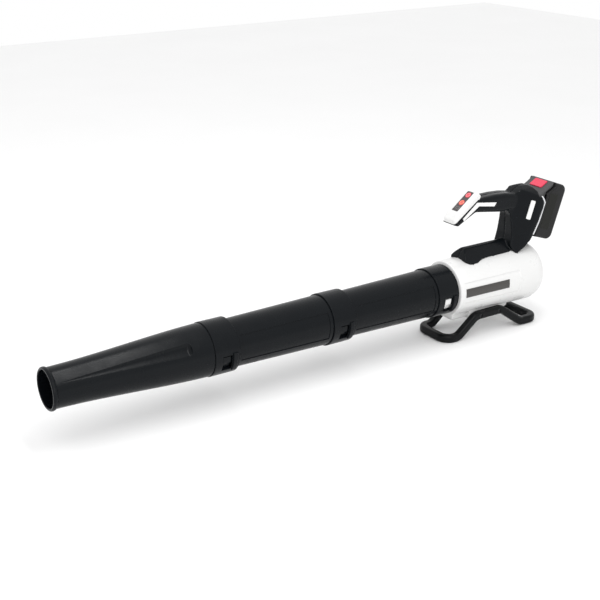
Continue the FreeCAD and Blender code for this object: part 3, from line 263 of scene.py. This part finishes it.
def slot_materials():
    """One material for each slot of the record."""
    return {
        "black_plastic": moulded("black_plastic", (0.0030, 0.0040, 0.0052), (0.0044, 0.0056, 0.0070), 0.26,
                                 shine=0.13),
        "white_plastic": moulded("white_plastic", (0.69, 0.69, 0.685), (0.72, 0.72, 0.715), 0.30, 0.8 * MM,
                                 0.04, wear=0.1, coat=0.15, worn=(0.62, 0.62, 0.61)),
        "badge_plastic": moulded("badge_plastic", (0.018, 0.015, 0.013), (0.03, 0.026, 0.023), 0.22,
                                 coat=0.4),
        "inner_plastic": moulded("inner_plastic", (0.014, 0.014, 0.015), (0.024, 0.024, 0.026), 0.5),
        "rubber": moulded("rubber", (0.012, 0.012, 0.012), (0.022, 0.022, 0.022), 0.72, 0.4 * MM, 0.3),
        "motor_steel": metal("motor_steel", (0.32, 0.33, 0.35), (0.45, 0.46, 0.48), 0.34, (1.0, 12.0, 1.0)),
        "steel": metal("steel", (0.50, 0.50, 0.52), (0.65, 0.65, 0.67), 0.25),
        "steel_black": metal("steel_black", (0.03, 0.03, 0.033), (0.07, 0.07, 0.075), 0.38),
        "aluminium": metal("aluminium", (0.60, 0.61, 0.63), (0.75, 0.76, 0.78), 0.38, (6.0, 1.0, 6.0)),
        "copper": metal("copper", (0.60, 0.25, 0.10), (0.80, 0.38, 0.18), 0.3, (1.0, 8.0, 1.0)),
        "impeller_plastic": moulded("impeller_plastic", (0.02, 0.02, 0.021), (0.04, 0.04, 0.042), 0.42),
        "stand_plastic": moulded("stand_plastic", (0.0035, 0.004, 0.0045), (0.005, 0.0055, 0.006), 0.32,
                                 shine=0.12),
        "stripe_plastic": moulded("stripe_plastic", (0.74, 0.74, 0.73), (0.80, 0.80, 0.79), 0.28, coat=0.3),
        "button_red": moulded("button_red", (0.62, 0.05, 0.07), (0.75, 0.10, 0.12), 0.25, coat=0.5),
        "panel_plastic": moulded("panel_plastic", (0.035, 0.03, 0.03), (0.055, 0.048, 0.046), 0.3,
                                 coat=0.3),
        "lamp": moulded("lamp", (0.22, 0.22, 0.23), (0.36, 0.36, 0.37), 0.35),
        "circuit_board": moulded("circuit_board", (0.012, 0.10, 0.045), (0.02, 0.15, 0.07), 0.35),
        "capacitor_sleeve": moulded("capacitor_sleeve", (0.012, 0.012, 0.03), (0.03, 0.03, 0.07), 0.3),
        "lead_sleeve": moulded("lead_sleeve", (0.18, 0.01, 0.01), (0.30, 0.025, 0.02), 0.5),
        "battery_black": moulded("battery_black", (0.006, 0.006, 0.0064), (0.0095, 0.0095, 0.010), 0.42,
                                 0.7 * MM, 0.35, shine=0.25),
        "battery_grey": moulded("battery_grey", (0.05, 0.05, 0.051), (0.075, 0.075, 0.077), 0.42,
                                0.7 * MM, 0.35, shine=0.3),
        "cell_wrap": moulded("cell_wrap", (0.02, 0.08, 0.30), (0.03, 0.11, 0.38), 0.3),
        "release_red": moulded("release_red", (0.62, 0.02, 0.06), (0.75, 0.04, 0.10), 0.3, coat=0.3),
        "label_film": moulded("label_film", (0.0045, 0.005, 0.004), (0.008, 0.0085, 0.006), 0.3,
                              wear=0.0, shine=0.2),
        "power_ring": moulded("power_ring", (0.80, 0.20, 0.24), (0.86, 0.28, 0.30), 0.3, wear=0.0),
        "speed_ring": moulded("speed_ring", (0.78, 0.26, 0.10), (0.84, 0.34, 0.14), 0.3, wear=0.0),
        "trim_silver": moulded("trim_silver", (0.62, 0.63, 0.64), (0.75, 0.76, 0.77), 0.2, coat=0.4),
    }


# ---- mesh helpers ------------------------------------------------------------------------------
def mesh_object(name, points, faces):
    """A new object from points in metres and faces."""
    mesh = bpy.data.meshes.new(name)
    mesh.from_pydata([tuple(p) for p in points], [], faces)
    mesh.validate()
    mesh.update()
    made = bpy.data.objects.new(name, mesh)
    bpy.context.scene.collection.objects.link(made)
    return made


def finish_nodes(materials):
    """Gives every CAD node the material of its slot."""
    for row in frame["record"]["subparts"]:
        node = frame["nodes"][row["node"]]
        node.data.materials.clear()
        node.data.materials.append(materials[row["material_slot"]])


def soften_shells():
    """Rounds the edges of the moulded handle shells and the battery case."""
    for name, passes in SOFT_SHELLS.items():
        node = frame["nodes"][name]
        remesh = node.modifiers.new("even_mesh", "REMESH")
        remesh.mode = "VOXEL"
        remesh.voxel_size = SHELL_VOXEL
        remesh.use_smooth_shade = True
        smooth = node.modifiers.new("rounding", "SMOOTH")
        smooth.factor = SHELL_SMOOTHING
        smooth.iterations = passes


def face_centre(node_name, normal):
    """Centre of a node's outermost face along a direction."""
    vertices = [v.co.copy() for v in frame["nodes"][node_name].data.vertices]
    reach = max(v.dot(normal) for v in vertices)
    top = [v for v in vertices if v.dot(normal) > reach - TOP_FACE_BAND]
    return sum(top, Vector()) / len(top)


def turned_piece(name, outline, place, axis, segments):
    """A ring turned about an axis, from a closed (radius, height) outline."""
    turn = axis.to_track_quat("Z", "Y").to_matrix()
    points = []
    for i in range(segments):
        angle = 2 * math.pi * i / segments
        for radius, height in outline:
            local = Vector((radius * math.cos(angle), radius * math.sin(angle), height))
            points.append(place + turn @ local)
    count = len(outline)
    faces = []
    for i in range(segments):
        after = (i + 1) % segments
        for j in range(count):
            k = (j + 1) % count
            faces.append((i * count + j, after * count + j, after * count + k, i * count + k))
    piece = mesh_object(name, points, faces)
    for face in piece.data.polygons:
        face.use_smooth = True
    return piece


def dress(piece, body, material):
    """A new piece's body and material."""
    piece.data.materials.append(material)
    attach(piece, body)


def button_rings(materials):
    """A light ring on each push button."""
    normal = Vector((0, -math.sin(NOSE_SLOPE), math.cos(NOSE_SLOPE)))
    ring = [(RING_INNER_R, -RING_SUNK), (RING_OUTER_R, -RING_SUNK),
            (RING_OUTER_R - RING_CHAMFER, RING_HEIGHT), (RING_INNER_R + RING_CHAMFER, RING_HEIGHT)]
    for node, body, ring_name in (("power_button", "power_key", "power_ring"),
                                  ("speed_button", "speed_key", "speed_ring")):
        piece = turned_piece(ring_name, ring, face_centre(node, normal), normal, RING_SEGMENTS)
        dress(piece, body, materials[ring_name])


def rounded_outline(width, height, radius, steps):
    """Corner points of a rounded rectangle round the origin."""
    points = []
    for sign_x, sign_y, start in ((1, 1, 0), (-1, 1, 90), (-1, -1, 180), (1, -1, 270)):
        for i in range(steps + 1):
            angle = math.radians(start + 90 * i / steps)
            points.append((sign_x * (width / 2 - radius) + radius * math.cos(angle),
                           sign_y * (height / 2 - radius) + radius * math.sin(angle)))
    return points


def label_piece(name, place, across, up):
    """A blank label with rounded corners that faces across x up, its back on place."""
    outline = rounded_outline(LABEL_WIDTH, LABEL_HEIGHT, LABEL_ROUND, CORNER_STEPS)
    normal = across.cross(up)
    layers = ((0.0, 1.0), (LABEL_THICKNESS - LABEL_BEVEL, 1.0),
              (LABEL_THICKNESS, 1.0 - 2 * LABEL_BEVEL / LABEL_HEIGHT))
    points = [place + across * u * share + up * v * share + normal * depth
              for depth, share in layers for u, v in outline]
    count = len(outline)
    faces = [tuple(range(count))[::-1], tuple(range(2 * count, 3 * count))]
    for layer in range(2):
        for i in range(count):
            j = (i + 1) % count
            faces.append((layer * count + i, layer * count + j, (layer + 1) * count + j,
                          (layer + 1) * count + i))
    return mesh_object(name, points, faces)


def battery_details(materials):
    """A blank label on each side of the battery."""
    up = Vector((0, math.sin(PACK_TILT), math.cos(PACK_TILT)))
    back = Vector((0, math.cos(PACK_TILT), -math.sin(PACK_TILT)))
    low, high = (Vector(corner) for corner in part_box("battery_case"))
    middle = (low + high) / 2
    for side, name in ((1, "right"), (-1, "left")):
        face = Vector((side * (high.x - LABEL_SUNK), middle.y, middle.z))
        label = label_piece("label_" + name, face + back * LABEL_SHIFT, back * side, up)
        dress(label, "battery", materials["label_film"])


add_camera()
add_studio()
materials = slot_materials()
finish_nodes(materials)
soften_shells()
button_rings(materials)
battery_details(materials)
